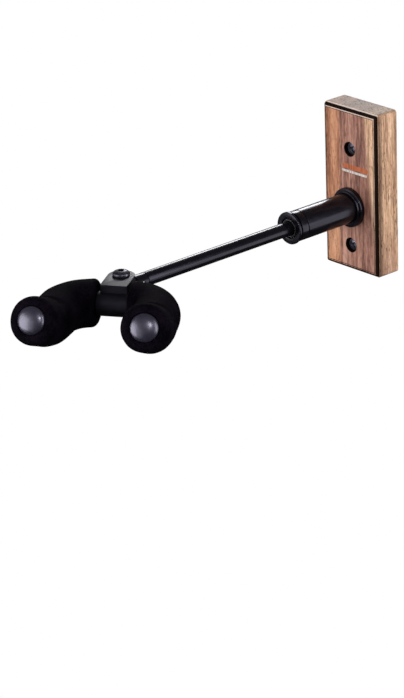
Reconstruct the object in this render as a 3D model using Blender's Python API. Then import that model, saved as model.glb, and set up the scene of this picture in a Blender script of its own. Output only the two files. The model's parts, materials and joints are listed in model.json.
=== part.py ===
"""Wall guitar hanger: walnut wall plate, telescopic arm and a swivelling padded yoke.

The origin is the middle of the plate's back face, which lies on the wall.
+Z is up, the arm points along -Y, and +X is to the right for someone facing the wall.
"""

import math

import bmesh
import bpy
from mathutils import Matrix, Vector

MM = 0.001
GAP = 0.3 * MM  # clearance between pieces that touch or fit into each other
BEYOND = 1.0 * MM  # how far a cutter reaches past the face it cuts

# Wall plate
PLATE_WIDTH = 49.0 * MM
PLATE_HEIGHT = 111.0 * MM
PLATE_THICKNESS = 18.8 * MM
PLATE_CORNER_RADIUS = 2.0 * MM
BACK_CHAMFER = 0.4 * MM
ARRIS = 0.3 * MM  # small chamfer between the sides and the rounded border
BORDER_RADIUS = 1.6 * MM  # quarter round that runs round the panel
LEDGE_WIDTH = 0.4 * MM  # flat ledge between the rounded border and the raised panel
PANEL_STEP = 0.4 * MM

# Wall screws
UPPER_SCREW_Z = 27.9 * MM
LOWER_SCREW_Z = -38.0 * MM
SCREW_SHANK_RADIUS = 2.2 * MM
SCREW_HEAD_RADIUS = 3.9 * MM
SCREW_LENGTH = 38.0 * MM
SCREW_HOLE_RADIUS = 2.6 * MM
COUNTERBORE_RADIUS = 4.8 * MM
COUNTERBORE_DEPTH = 4.6 * MM
HEAD_RECESS = 1.6 * MM  # how far the head sits below the panel
HEAD_EDGE = 0.4 * MM
HEAD_DEPTH = 2.6 * MM  # from the head's face to the end of its cone
SCREW_POINT_LENGTH = 5.0 * MM
RECESS_HALF_LENGTH = 2.3 * MM
RECESS_HALF_WIDTH = 0.45 * MM
RECESS_DEPTH = 1.4 * MM
RECESS_TURN = 20.0  # degrees that the cross recess is turned from upright

# Arm axis and the stud that holds the sleeve to the plate
ARM_Z = -11.4 * MM
STUD_RADIUS = 4.0 * MM
STUD_HOLE_RADIUS = 4.4 * MM
NUT_POCKET_RADIUS = 9.0 * MM
NUT_POCKET_DEPTH = 8.0 * MM
NUT_ACROSS_FLATS = 13.0 * MM
NUT_THICKNESS = 5.0 * MM
PLATE_WASHER_RADIUS = 8.0 * MM
PLATE_WASHER_THICKNESS = 1.6 * MM

# Flange and sleeve; distances along the arm are measured from the wall
FLANGE_RADIUS = 13.2 * MM
FLANGE_FRONT = 22.4 * MM
FLANGE_STEP_RADIUS = 11.6 * MM
FLANGE_STEP_FRONT = 23.6 * MM
SLEEVE_RADIUS = 10.0 * MM
SLEEVE_BORE_RADIUS = 7.5 * MM
SLEEVE_FRONT = 65.4 * MM
PLUG_FRONT = 24.0 * MM

# Twist clutch at the sleeve's mouth
NOSE_BACK = 58.0 * MM
NOSE_FRONT = 71.0 * MM
NOSE_BORE_RADIUS = 5.6 * MM
NOSE_TAPER_RADIUS = 6.5 * MM
NOSE_TAPER_START = 66.0 * MM
COLLAR_BACK = 65.8 * MM
COLLAR_GROOVE_START = 71.1 * MM
COLLAR_GROOVE_END = 72.7 * MM
COLLAR_GROOVE_RADIUS = 9.0 * MM
COLLAR_LIP_RADIUS = 10.7 * MM
COLLAR_FRONT = 74.4 * MM
COLLAR_MOUTH_RADIUS = 6.7 * MM
COLLET_BACK = 67.0 * MM
COLLET_FRONT = 73.7 * MM
COLLET_TAIL_RADIUS = 5.45 * MM
COLLET_TAIL = 2.5 * MM  # unslotted length that holds the fingers together
COLLET_SLOTS = 6
COLLET_SLOT_WIDTH = 0.8 * MM

# Sliding rod, its guide in the sleeve and the tongue at its outer end
ROD_RADIUS = 4.65 * MM
ROD_SHOULDER = 52.3 * MM  # where the rod steps down to carry the guide
ROD_BACK = 41.5 * MM
GUIDE_SEAT_RADIUS = 3.5 * MM
GUIDE_BACK = 44.0 * MM
GUIDE_FRONT = 52.0 * MM
CLIP_BACK = 42.5 * MM
CLIP_RADIUS = 5.8 * MM
PIVOT_DISTANCE = 216.0 * MM
TONGUE_LENGTH = 9.5 * MM  # from the pivot to the round part behind it
TONGUE_THICKNESS = 5.0 * MM
TONGUE_END_RADIUS = 5.5 * MM
SOCKET_LENGTH = 9.0 * MM  # how far the tongue's round part reaches back over the rod's spigot
ROD_FRONT = PIVOT_DISTANCE - TONGUE_LENGTH - SOCKET_LENGTH - GAP
SPIGOT_FRONT = ROD_FRONT + SOCKET_LENGTH - 1.5 * MM
SPIGOT_RADIUS = 2.7 * MM
PIN_RADIUS = 1.0 * MM
PIN_RECESS = 0.4 * MM
TRIM_BLOCK = 10.0 * MM  # half size of the blocks that trim the tongue

# Yoke, drawn straight ahead and then turned on its pivot to the rest angle
YOKE_REST_ANGLE = math.radians(33.5)
BAR_FORWARD = 17.0 * MM  # from the pivot to the middle of the cross bar
BAR_DROP = 4.5 * MM
BAR_RADIUS = 4.0 * MM
BAR_END_BACK = 2.0 * MM  # how far the bar stops short of the foam's end
BAR_HALF_STRAIGHT = 11.0 * MM
CORNER_BEND_RADIUS = 19.5 * MM
PRONG_SPLAY = math.radians(6.3)
PRONG_STRAIGHT = 12.5 * MM
TIP_BEND_RADIUS = 27.0 * MM
TIP_RISE = math.radians(23.5)
TIP_STRAIGHT = 20.0 * MM
FOAM_RADIUS = 15.0 * MM
FOAM_TIP_ROUNDING = 5.0 * MM
FOAM_BACK_ROUNDING = 3.0 * MM

# Knuckle that joins the yoke to the tongue
EAR_RADIUS = 8.5 * MM
EAR_OUTER = 8.1 * MM
EAR_INNER = 4.1 * MM
BOSS_RADIUS = 7.6 * MM
BOSS_HALF_LENGTH = 10.0 * MM
KNUCKLE_NOSE = 1.0 * MM  # how far the block reaches past the bar's line
BOLT_RADIUS = 3.0 * MM
BOLT_HEAD_RADIUS = 5.5 * MM
BOLT_HEAD_HEIGHT = 3.2 * MM
BOLT_HEAD_EDGE = 0.8 * MM
BOLT_KEY_RADIUS = 2.3 * MM
BOLT_KEY_DEPTH = 2.0 * MM
BOLT_THREAD_BEYOND = 1.2 * MM  # thread that shows below the nut
PIVOT_NUT_ACROSS_FLATS = 10.0 * MM
PIVOT_NUT_THICKNESS = 5.0 * MM
PIVOT_WASHER_THICKNESS = 1.0 * MM
PIVOT_WASHER_RADIUS = 7.0 * MM
GRUB_RADIUS = 1.9 * MM
GRUB_RECESS = 0.3 * MM

# Yoke end caps
CAP_RADIUS = 8.7 * MM
CAP_HEIGHT = 3.6 * MM
CAP_RIM = 0.2 * MM  # how far below the foam's end the dome starts
CAP_SINK = 1.2 * MM
CAP_SKIRT_RADIUS = 6.0 * MM
CAP_SKIRT_DEPTH = 10.0 * MM

FINE_STEPS = 36
MEDIUM_STEPS = 28
COARSE_STEPS = 20
SMALL_STEPS = 16
SWEEP_STEPS = 24
BAR_STEPS = 14
SMOOTH_ANGLE = math.radians(35)


# ---------------------------------------------------------------- materials and helpers

def make_material(name, colour, roughness, metallic=0.0):
    material = bpy.data.materials.new(name)
    material.use_nodes = True
    shader = material.node_tree.nodes["Principled BSDF"]
    shader.inputs["Base Color"].default_value = (*colour, 1.0)
    shader.inputs["Roughness"].default_value = roughness
    shader.inputs["Metallic"].default_value = metallic
    material.diffuse_color = (*colour, 1.0)
    return material


def add_object(name, mesh, material, matrix=None, parent=None):
    """Put a mesh in the scene as a named piece; matrix places it in its parent's space."""
    piece = bpy.data.objects.new(name, mesh)
    bpy.context.scene.collection.objects.link(piece)
    if material is not None:
        mesh.materials.append(material)
    if matrix is not None:
        piece.matrix_world = matrix
    if parent is not None:
        piece.parent = parent
    return piece


def finish_mesh(name, bm):
    bmesh.ops.remove_doubles(bm, verts=bm.verts, dist=1e-7)
    bmesh.ops.recalc_face_normals(bm, faces=bm.faces)
    mesh = bpy.data.meshes.new(name)
    bm.to_mesh(mesh)
    bm.free()
    mesh.shade_smooth()
    mesh.set_sharp_from_angle(angle=SMOOTH_ANGLE)
    return mesh


def arc(centre_r, centre_t, radius, start, end, count):
    """Points on an arc in the plane of an outline, angles in degrees."""
    points = []
    for i in range(count + 1):
        angle = math.radians(start + (end - start) * i / count)
        points.append((centre_r + radius * math.cos(angle), centre_t + radius * math.sin(angle)))
    return points


def turned_mesh(name, outline, steps=FINE_STEPS):
    """Turn an outline of (radius, distance) points about the local Z axis.

    An outline that starts and ends on the axis gives a solid; any other one is
    closed back to its first point and gives a ring.
    """
    bm = bmesh.new()
    points = [bm.verts.new((r, 0.0, t)) for r, t in outline]
    edges = [bm.edges.new(pair) for pair in zip(points, points[1:])]
    on_axis = outline[0][0] == 0.0 and outline[-1][0] == 0.0
    if not on_axis:
        edges.append(bm.edges.new((points[-1], points[0])))
    bmesh.ops.spin(
        bm, geom=points + edges, cent=(0, 0, 0), axis=(0, 0, 1),
        angle=math.tau, steps=steps, use_merge=True,
    )
    return finish_mesh(name, bm)


def prism_mesh(name, outline, low, high):
    """Extrude a flat outline of (x, y) points from z = low to z = high."""
    bm = bmesh.new()
    face = bm.faces.new([bm.verts.new((x, y, low)) for x, y in outline])
    top = bmesh.ops.extrude_face_region(bm, geom=[face])["geom"]
    moved = [item for item in top if isinstance(item, bmesh.types.BMVert)]
    bmesh.ops.translate(bm, verts=moved, vec=(0, 0, high - low))
    return finish_mesh(name, bm)


def regular_polygon(sides, radius, turn=0.0):
    angles = [turn + math.tau * i / sides for i in range(sides)]
    return [(radius * math.cos(a), radius * math.sin(a)) for a in angles]


def rounded_rectangle(half_width, half_height, radius, corner_steps=4):
    points = []
    corners = ((1, 1, 0), (-1, 1, 90), (-1, -1, 180), (1, -1, 270))
    for sign_x, sign_y, start in corners:
        centre_x = sign_x * (half_width - radius)
        centre_y = sign_y * (half_height - radius)
        for i in range(corner_steps + 1):
            angle = math.radians(start + 90 * i / corner_steps)
            points.append((centre_x + radius * math.cos(angle), centre_y + radius * math.sin(angle)))
    return points


def boolean(piece, operation, tool):
    """Cut, join or trim a piece with a guide object that is kept out of the model."""
    tool.hide_render = True
    tool.display_type = "WIRE"
    modifier = piece.modifiers.new(operation.title(), "BOOLEAN")
    modifier.operation = operation
    modifier.object = tool
    modifier.solver = "EXACT"


def guide_cylinder(name, radius, low, high, matrix, parent=None, steps=COARSE_STEPS):
    outline = [(0.0, high), (radius, high), (radius, low), (0.0, low)]
    return add_object(name, turned_mesh(name, outline, steps), None, matrix, parent)


def arm_matrix(z=ARM_Z):
    """Local Z runs along the arm, away from the wall; local Y points down."""
    return Matrix.Translation((0, 0, z)) @ Matrix.Rotation(math.radians(90), 4, "X")


# ---------------------------------------------------------------- wall plate and its fixings

def plate_sections():
    """(inset, distance from the wall) of each outline that the plate is lofted through."""
    border_start = PLATE_THICKNESS - PANEL_STEP - BORDER_RADIUS
    sections = [(BACK_CHAMFER, 0.0), (0.0, BACK_CHAMFER), (0.0, border_start - ARRIS), (ARRIS, border_start)]
    for i in range(1, 6):
        angle = math.radians(90 * i / 5)
        inset = ARRIS + BORDER_RADIUS * (1 - math.cos(angle))
        depth = border_start + BORDER_RADIUS * math.sin(angle)
        sections.append((inset, depth))
    panel_inset = ARRIS + BORDER_RADIUS + LEDGE_WIDTH
    sections.append((panel_inset, PLATE_THICKNESS - PANEL_STEP))
    sections.append((panel_inset, PLATE_THICKNESS))
    return sections


def build_wall_plate(material):
    bm = bmesh.new()
    rings = []
    for inset, depth in plate_sections():
        radius = max(PLATE_CORNER_RADIUS - inset, 0.3 * MM)
        outline = rounded_rectangle(PLATE_WIDTH / 2 - inset, PLATE_HEIGHT / 2 - inset, radius)
        rings.append([bm.verts.new((x, -depth, z)) for x, z in outline])
    for low, high in zip(rings, rings[1:]):
        for i in range(len(low)):
            j = (i + 1) % len(low)
            bm.faces.new((low[i], low[j], high[j], high[i]))
    bm.faces.new(rings[0])
    bm.faces.new(rings[-1])
    plate = add_object("wall_plate", finish_mesh("wall_plate", bm), material)
    through = PLATE_THICKNESS + BEYOND
    for label, z in (("upper", UPPER_SCREW_Z), ("lower", LOWER_SCREW_Z)):
        bore = guide_cylinder(f"cut_{label}_hole", SCREW_HOLE_RADIUS, -BEYOND, through, arm_matrix(z))
        pocket = guide_cylinder(
            f"cut_{label}_counterbore", COUNTERBORE_RADIUS, PLATE_THICKNESS - COUNTERBORE_DEPTH,
            through, arm_matrix(z), steps=MEDIUM_STEPS)
        boolean(plate, "DIFFERENCE", bore)
        boolean(plate, "DIFFERENCE", pocket)
    stud_hole = guide_cylinder("cut_stud_hole", STUD_HOLE_RADIUS, -BEYOND, through, arm_matrix())
    nut_pocket = guide_cylinder("cut_nut_pocket", NUT_POCKET_RADIUS, -BEYOND, NUT_POCKET_DEPTH, arm_matrix())
    boolean(plate, "DIFFERENCE", stud_hole)
    boolean(plate, "DIFFERENCE", nut_pocket)


def build_wall_screw(label, z, material):
    """Countersunk wood screw with a cross recess, seated in its counterbore."""
    top = PLATE_THICKNESS - HEAD_RECESS
    tip = top - SCREW_LENGTH
    outline = [
        (0.0, top), (SCREW_HEAD_RADIUS - HEAD_EDGE, top), (SCREW_HEAD_RADIUS, top - HEAD_EDGE),
        (SCREW_SHANK_RADIUS, top - HEAD_DEPTH), (SCREW_SHANK_RADIUS, tip + SCREW_POINT_LENGTH), (0.0, tip),
    ]
    name = f"wall_screw_{label}"
    screw = add_object(name, turned_mesh(name, outline, COARSE_STEPS), material, arm_matrix(z))
    arm_x, arm_y = RECESS_HALF_LENGTH, RECESS_HALF_WIDTH
    outline = [(-arm_x, -arm_y), (arm_x, -arm_y), (arm_x, arm_y), (-arm_x, arm_y)]
    for i in range(2):
        mesh = prism_mesh(f"cut_{name}_{i}", outline, top - RECESS_DEPTH, top + BEYOND)
        turn = Matrix.Rotation(math.radians(RECESS_TURN + 90 * i), 4, "Z")
        boolean(screw, "DIFFERENCE", add_object(f"cut_{name}_{i}", mesh, None, arm_matrix(z) @ turn))


def build_hex_nut(name, across_flats, bore_radius, low, high, material, matrix, parent=None):
    corners = regular_polygon(6, across_flats / math.sqrt(3), math.radians(30))
    nut = add_object(name, prism_mesh(name, corners, low, high), material, matrix, parent)
    bore = guide_cylinder(f"cut_{name}", bore_radius, low - BEYOND, high + BEYOND, matrix, parent)
    boolean(nut, "DIFFERENCE", bore)


def build_plate_fixings(steel):
    washer_front = NUT_POCKET_DEPTH - GAP
    washer_back = washer_front - PLATE_WASHER_THICKNESS
    hole = STUD_RADIUS + GAP
    outline = [(hole, washer_front), (PLATE_WASHER_RADIUS, washer_front),
               (PLATE_WASHER_RADIUS, washer_back), (hole, washer_back)]
    add_object("plate_washer", turned_mesh("plate_washer", outline, COARSE_STEPS), steel, arm_matrix())
    nut_front = washer_back - GAP
    build_hex_nut(
        "plate_nut", NUT_ACROSS_FLATS, hole, nut_front - NUT_THICKNESS, nut_front, steel, arm_matrix())


# ---------------------------------------------------------------- sleeve and twist clutch

def build_flange(material):
    back = PLATE_THICKNESS + GAP
    hole = SLEEVE_RADIUS + GAP
    bead = 1.4 * MM
    edge = 0.4 * MM
    outline = [(hole, FLANGE_STEP_FRONT)]
    outline += arc(FLANGE_STEP_RADIUS - edge, FLANGE_STEP_FRONT - edge, edge, 90, 0, 3)
    outline += [(FLANGE_STEP_RADIUS, FLANGE_FRONT)]
    outline += arc(FLANGE_RADIUS - bead, FLANGE_FRONT - bead, bead, 90, 0, 6)
    outline += [(FLANGE_RADIUS, back), (hole, back)]
    add_object("flange_ring", turned_mesh("flange_ring", outline), material, arm_matrix())


def build_sleeve(black, steel):
    back = PLATE_THICKNESS + GAP
    edge = 0.3 * MM
    outline = [
        (SLEEVE_BORE_RADIUS, SLEEVE_FRONT), (SLEEVE_RADIUS - edge, SLEEVE_FRONT),
        (SLEEVE_RADIUS, SLEEVE_FRONT - edge), (SLEEVE_RADIUS, back), (SLEEVE_BORE_RADIUS, back),
    ]
    add_object("sleeve_tube", turned_mesh("sleeve_tube", outline), black, arm_matrix())
    plug_radius = SLEEVE_BORE_RADIUS - GAP
    stud_end = 1.5 * MM
    chamfer = 0.6 * MM
    outline = [
        (0.0, PLUG_FRONT), (plug_radius, PLUG_FRONT), (plug_radius, back), (STUD_RADIUS, back),
        (STUD_RADIUS, stud_end + chamfer), (STUD_RADIUS - chamfer, stud_end), (0.0, stud_end),
    ]
    add_object("sleeve_plug", turned_mesh("sleeve_plug", outline, COARSE_STEPS), steel, arm_matrix())


def build_clutch(black, nylon, steel):
    nose_radius = SLEEVE_BORE_RADIUS - GAP
    outline = [
        (NOSE_TAPER_RADIUS, NOSE_FRONT), (nose_radius, NOSE_FRONT), (nose_radius, NOSE_BACK),
        (NOSE_BORE_RADIUS, NOSE_BACK), (NOSE_BORE_RADIUS, NOSE_TAPER_START),
    ]
    add_object("clutch_nose", turned_mesh("clutch_nose", outline, COARSE_STEPS), steel, arm_matrix())

    bore = nose_radius + GAP
    shoulder = NOSE_FRONT + GAP
    edge = 0.25 * MM
    outline = [
        (COLLAR_MOUTH_RADIUS, shoulder), (bore, shoulder), (bore, COLLAR_BACK),
        (SLEEVE_RADIUS - edge, COLLAR_BACK), (SLEEVE_RADIUS, COLLAR_BACK + edge),
        (SLEEVE_RADIUS, COLLAR_GROOVE_START), (COLLAR_GROOVE_RADIUS, COLLAR_GROOVE_START),
        (COLLAR_GROOVE_RADIUS, COLLAR_GROOVE_END), (COLLAR_LIP_RADIUS - edge, COLLAR_GROOVE_END),
        (COLLAR_LIP_RADIUS, COLLAR_GROOVE_END + edge), (COLLAR_LIP_RADIUS, COLLAR_FRONT - edge),
        (COLLAR_LIP_RADIUS - edge, COLLAR_FRONT), (COLLAR_MOUTH_RADIUS, COLLAR_FRONT),
    ]
    add_object("clutch_collar", turned_mesh("clutch_collar", outline), black, arm_matrix())

    hole = ROD_RADIUS + GAP
    finger_radius = NOSE_TAPER_RADIUS - 1.3 * GAP  # the tapered faces stay a full gap apart
    outline = [
        (hole, COLLET_FRONT), (finger_radius, COLLET_FRONT), (finger_radius, NOSE_FRONT),
        (COLLET_TAIL_RADIUS, COLLET_BACK), (hole, COLLET_BACK),
    ]
    mesh = turned_mesh("clutch_collet", outline, MEDIUM_STEPS)
    collet = add_object("clutch_collet", mesh, nylon, arm_matrix())
    inner, outer, half = ROD_RADIUS / 2, SLEEVE_RADIUS, COLLET_SLOT_WIDTH / 2
    outline = [(inner, -half), (outer, -half), (outer, half), (inner, half)]
    for i in range(COLLET_SLOTS):
        name = f"cut_collet_slot_{i}"
        mesh = prism_mesh(name, outline, COLLET_BACK + COLLET_TAIL, COLLET_FRONT + BEYOND)
        turn = Matrix.Rotation(math.tau * i / COLLET_SLOTS, 4, "Z")
        boolean(collet, "DIFFERENCE", add_object(name, mesh, None, arm_matrix() @ turn))


# ---------------------------------------------------------------- sliding rod

def build_rod(black, nylon, steel, slide):
    chamfer = 0.5 * MM
    outline = [
        (0.0, SPIGOT_FRONT), (SPIGOT_RADIUS - chamfer, SPIGOT_FRONT),
        (SPIGOT_RADIUS, SPIGOT_FRONT - chamfer), (SPIGOT_RADIUS, ROD_FRONT), (ROD_RADIUS, ROD_FRONT),
        (ROD_RADIUS, ROD_SHOULDER), (GUIDE_SEAT_RADIUS, ROD_SHOULDER),
        (GUIDE_SEAT_RADIUS, ROD_BACK + chamfer), (GUIDE_SEAT_RADIUS - chamfer, ROD_BACK), (0.0, ROD_BACK),
    ]
    rod = add_object("slide_rod", turned_mesh("slide_rod", outline, MEDIUM_STEPS), black, arm_matrix(), slide)

    hole = GUIDE_SEAT_RADIUS + GAP
    outer = SLEEVE_BORE_RADIUS - GAP
    outline = [(hole, GUIDE_FRONT), (outer, GUIDE_FRONT), (outer, GUIDE_BACK), (hole, GUIDE_BACK)]
    add_object("rod_guide", turned_mesh("rod_guide", outline, COARSE_STEPS), nylon, arm_matrix(), slide)
    clip_front = GUIDE_BACK - GAP
    outline = [(hole, clip_front), (CLIP_RADIUS, clip_front), (CLIP_RADIUS, CLIP_BACK), (hole, CLIP_BACK)]
    add_object("guide_clip", turned_mesh("guide_clip", outline, COARSE_STEPS), steel, arm_matrix(), slide)
    return rod


def build_tongue(black, slide):
    """Flat tongue with a pivot eye, socketed over the rod's spigot."""
    end = PIVOT_DISTANCE + TONGUE_END_RADIUS
    socket_end = SPIGOT_FRONT + GAP
    bore = SPIGOT_RADIUS + GAP
    outline = [
        (0.0, end), (ROD_RADIUS, end), (ROD_RADIUS, ROD_FRONT + GAP), (bore, ROD_FRONT + GAP),
        (bore, socket_end), (0.0, socket_end),
    ]
    mesh = turned_mesh("rod_tongue", outline, MEDIUM_STEPS)
    tongue = add_object("rod_tongue", mesh, black, arm_matrix(), slide)
    block = rounded_rectangle(TRIM_BLOCK, TRIM_BLOCK, GAP)
    for label, side in (("top", 1), ("bottom", -1)):
        name = f"cut_tongue_{label}"
        mesh = prism_mesh(name, block, PIVOT_DISTANCE - TONGUE_LENGTH, end + BEYOND)
        shift = Matrix.Translation((0, side * (TONGUE_THICKNESS / 2 + TRIM_BLOCK), 0))
        boolean(tongue, "DIFFERENCE", add_object(name, mesh, None, arm_matrix() @ shift))
    upright = Matrix.Translation((0, -PIVOT_DISTANCE, ARM_Z))
    keep = arc(0, 0, TONGUE_END_RADIUS, 180, 360, 20)
    keep += [(TONGUE_END_RADIUS, 2 * SOCKET_LENGTH + TONGUE_LENGTH),
             (-TONGUE_END_RADIUS, 2 * SOCKET_LENGTH + TONGUE_LENGTH)]
    mesh = prism_mesh("trim_tongue", keep, -TRIM_BLOCK, TRIM_BLOCK)
    boolean(tongue, "INTERSECT", add_object("trim_tongue", mesh, None, upright))
    eye = guide_cylinder("cut_tongue_eye", BOLT_RADIUS + GAP, -TRIM_BLOCK, TRIM_BLOCK, upright)
    boolean(tongue, "DIFFERENCE", eye)
    return tongue


def build_tongue_pin(steel, slide, rod, tongue):
    """Cross pin through the tongue's socket and the rod's spigot."""
    middle = Matrix.Translation((0, -(ROD_FRONT + SOCKET_LENGTH / 2), ARM_Z))
    across = middle @ Matrix.Rotation(math.pi / 2, 4, "Y")
    reach = ROD_RADIUS + BEYOND
    cross_hole = guide_cylinder("cut_cross_hole", PIN_RADIUS + GAP, -reach, reach, across, steps=SMALL_STEPS)
    boolean(rod, "DIFFERENCE", cross_hole)
    boolean(tongue, "DIFFERENCE", cross_hole)
    half_pin = ROD_RADIUS - PIN_RECESS
    outline = [(0.0, half_pin), (PIN_RADIUS, half_pin), (PIN_RADIUS, -half_pin), (0.0, -half_pin)]
    add_object("tongue_pin", turned_mesh("tongue_pin", outline, SMALL_STEPS), steel, across, slide)


# ---------------------------------------------------------------- yoke

def yoke_half_path(side):
    """Stations (point, direction) of half the bent bar, from its middle to one tip.

    Local axes: X across, -Y ahead, Z up, from the pivot. side is -1 for left, 1 for right.
    """
    ahead = Vector((0, -1, 0))
    up = Vector((0, 0, 1))
    stations = []
    point = Vector((0, -BAR_FORWARD, -BAR_DROP))
    direction = Vector((side, 0, 0))

    def go_straight(length, count):
        nonlocal point
        for i in range(count):
            stations.append((point + direction * (length * i / count), direction.copy()))
        point = point + direction * length

    def go_round(towards, radius, angle, count):
        nonlocal point, direction
        start, heading = point.copy(), direction.copy()
        for i in range(count + 1):
            turn = angle * i / count
            here = start + radius * (heading * math.sin(turn) + towards * (1 - math.cos(turn)))
            facing = heading * math.cos(turn) + towards * math.sin(turn)
            if i < count:
                stations.append((here, facing))
        point, direction = here, facing

    go_straight(BAR_HALF_STRAIGHT, 1)
    go_round(ahead, CORNER_BEND_RADIUS, math.pi / 2 - PRONG_SPLAY, 9)
    go_straight(PRONG_STRAIGHT, 2)
    go_round(up, TIP_BEND_RADIUS, TIP_RISE, 3)
    go_straight(TIP_STRAIGHT, 2)
    stations.append((point, direction))
    return stations


def ring_points(point, direction, radius, steps=SWEEP_STEPS):
    """A circle of points round a station, with its seam always to the same side."""
    side = direction.cross(Vector((0, 0, 1))).normalized()
    lift = side.cross(direction)
    angles = [math.tau * i / steps for i in range(steps)]
    return [point + radius * (side * math.cos(a) + lift * math.sin(a)) for a in angles]


def station_at(stations, length_from_tip):
    """Point and direction on the last, straight stretch of a path."""
    point, direction = stations[-1]
    return point - direction * length_from_tip, direction


def far_from(stations, point, distance):
    return [(p, d) for p, d in stations if (p - point).length > distance]


def sweep_mesh(name, rings, closed_ends):
    """Skin a row of rings; closed_ends fills the first and last, else they join up."""
    bm = bmesh.new()
    rows = [[bm.verts.new(p) for p in ring] for ring in rings]
    pairs = list(zip(rows, rows[1:]))
    if not closed_ends:
        pairs.append((rows[-1], rows[0]))
    for low, high in pairs:
        for i in range(len(low)):
            j = (i + 1) % len(low)
            bm.faces.new((low[i], low[j], high[j], high[i]))
    if closed_ends:
        bm.faces.new(rows[0])
        bm.faces.new(rows[-1])
    return finish_mesh(name, bm)


def build_yoke_bar(material, pivot):
    """One round bar bent into a U with its two ends turned up."""
    halves = []
    for side in (-1, 1):
        stations = yoke_half_path(side)
        stations[-1] = station_at(stations, BAR_END_BACK)
        halves.append(stations)
    left = [(point, -direction) for point, direction in reversed(halves[0])]
    rings = [ring_points(p, d, BAR_RADIUS, BAR_STEPS) for p, d in left + halves[1][1:]]
    add_object("yoke_bar", sweep_mesh("yoke_bar", rings, True), material, None, pivot)


def build_foam(label, side, material, pivot):
    """Foam tube over a prong, from beside the knuckle to the tip, bored for the bar and cap."""
    stations = yoke_half_path(side)[1:]
    first_point, first_direction = stations[0]
    tip_point, tip_direction = stations[-1]
    rings = []
    for i in range(4):
        angle = math.pi / 2 * i / 3
        radius = FOAM_RADIUS - FOAM_BACK_ROUNDING * (1 - math.sin(angle))
        along = FOAM_BACK_ROUNDING * (1 - math.cos(angle))
        rings.append(ring_points(first_point + first_direction * along, first_direction, radius))
    outer = far_from(stations, first_point, 1.5 * FOAM_BACK_ROUNDING)
    outer = far_from(outer, tip_point, FOAM_TIP_ROUNDING)
    rings += [ring_points(p, d, FOAM_RADIUS) for p, d in outer]
    for i in range(6):
        angle = math.pi / 2 * i / 5
        radius = FOAM_RADIUS - FOAM_TIP_ROUNDING * (1 - math.cos(angle))
        back = FOAM_TIP_ROUNDING * (1 - math.sin(angle))
        rings.append(ring_points(tip_point - tip_direction * back, tip_direction, radius))
    recess = CAP_RADIUS + GAP
    recess_depth = CAP_SINK + GAP
    skirt_bore = CAP_SKIRT_RADIUS + GAP
    skirt_depth = CAP_SKIRT_DEPTH + 2 * GAP
    bore = BAR_RADIUS + GAP
    for radius, back in ((recess, 0.0), (recess, recess_depth), (skirt_bore, recess_depth),
                         (skirt_bore, skirt_depth), (bore, skirt_depth)):
        rings.append(ring_points(tip_point - tip_direction * back, tip_direction, radius))
    inner = far_from(stations[1:], tip_point, skirt_depth + BEYOND)
    rings += [ring_points(p, d, bore) for p, d in reversed(inner)]
    rings.append(ring_points(first_point, first_direction, bore))
    name = f"foam_{label}"
    add_object(name, sweep_mesh(name, rings, False), material, None, pivot)


def build_cap(label, side, material, pivot):
    """Domed cap with a skirt that grips the end of the bar."""
    tip_point, tip_direction = yoke_half_path(side)[-1]
    socket_top = GAP - BAR_END_BACK
    socket_radius = BAR_RADIUS + GAP
    dome = [(CAP_RADIUS * math.sin(a), (CAP_HEIGHT + CAP_RIM) * math.cos(a) - CAP_RIM)
            for a in (math.pi / 2 * i / 6 for i in range(7))]
    dome[0] = (0.0, CAP_HEIGHT)
    outline = dome + [
        (CAP_RADIUS, -CAP_SINK), (CAP_SKIRT_RADIUS, -CAP_SINK), (CAP_SKIRT_RADIUS, -CAP_SKIRT_DEPTH),
        (socket_radius, -CAP_SKIRT_DEPTH), (socket_radius, socket_top), (0.0, socket_top),
    ]
    turn = tip_direction.to_track_quat("Z", "Y").to_matrix().to_4x4()
    name = f"cap_{label}"
    mesh = turned_mesh(name, outline, MEDIUM_STEPS)
    add_object(name, mesh, material, Matrix.Translation(tip_point) @ turn, pivot)


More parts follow.
